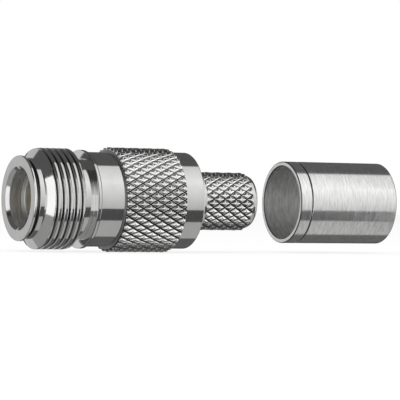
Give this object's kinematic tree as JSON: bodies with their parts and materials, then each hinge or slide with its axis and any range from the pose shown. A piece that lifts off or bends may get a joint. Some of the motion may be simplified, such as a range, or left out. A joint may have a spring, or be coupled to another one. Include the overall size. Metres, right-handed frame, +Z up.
{
  "type": "n type connector",
  "caption": "Coaxial jack with a threaded mating end, a diamond-knurled body, a knurled crimp stem and a separate crimp ferrule.",
  "frame": {"origin": "on the axis in the reference plane, the step inside the jack that the plug's outer contact butts against, 9.1 mm behind the mating face", "axes": "+X along the axis from the mating face to the cable end, +Z up"},
  "size_m": [0.0651, 0.0166, 0.0166],
  "materials": {
    "nickel_plate": "bright nickel plate on turned brass",
    "satin_nickel": "satin nickel plate on drawn copper",
    "gold_plate": "gold plate on spring bronze",
    "insulator": "turned fluoropolymer, white",
    "gasket_rubber": "moulded silicone rubber"
  },
  "bodies": {
    "jack": {"front_body": "nickel_plate", "outer_contact": "nickel_plate", "front_insulator": "insulator", "centre_contact": "gold_plate", "rear_insulator": "insulator", "body_gasket": "gasket_rubber", "rear_body": "nickel_plate", "crimp_stem": "nickel_plate"},
    "ferrule": {"crimp_ferrule": "satin_nickel"}
  },
  "joints": [
    {"name": "ferrule_slide", "type": "slide", "parent": "jack", "child": "ferrule", "axis": [-1, 0, 0], "range_m": [0, 0.01783]}
  ]
}
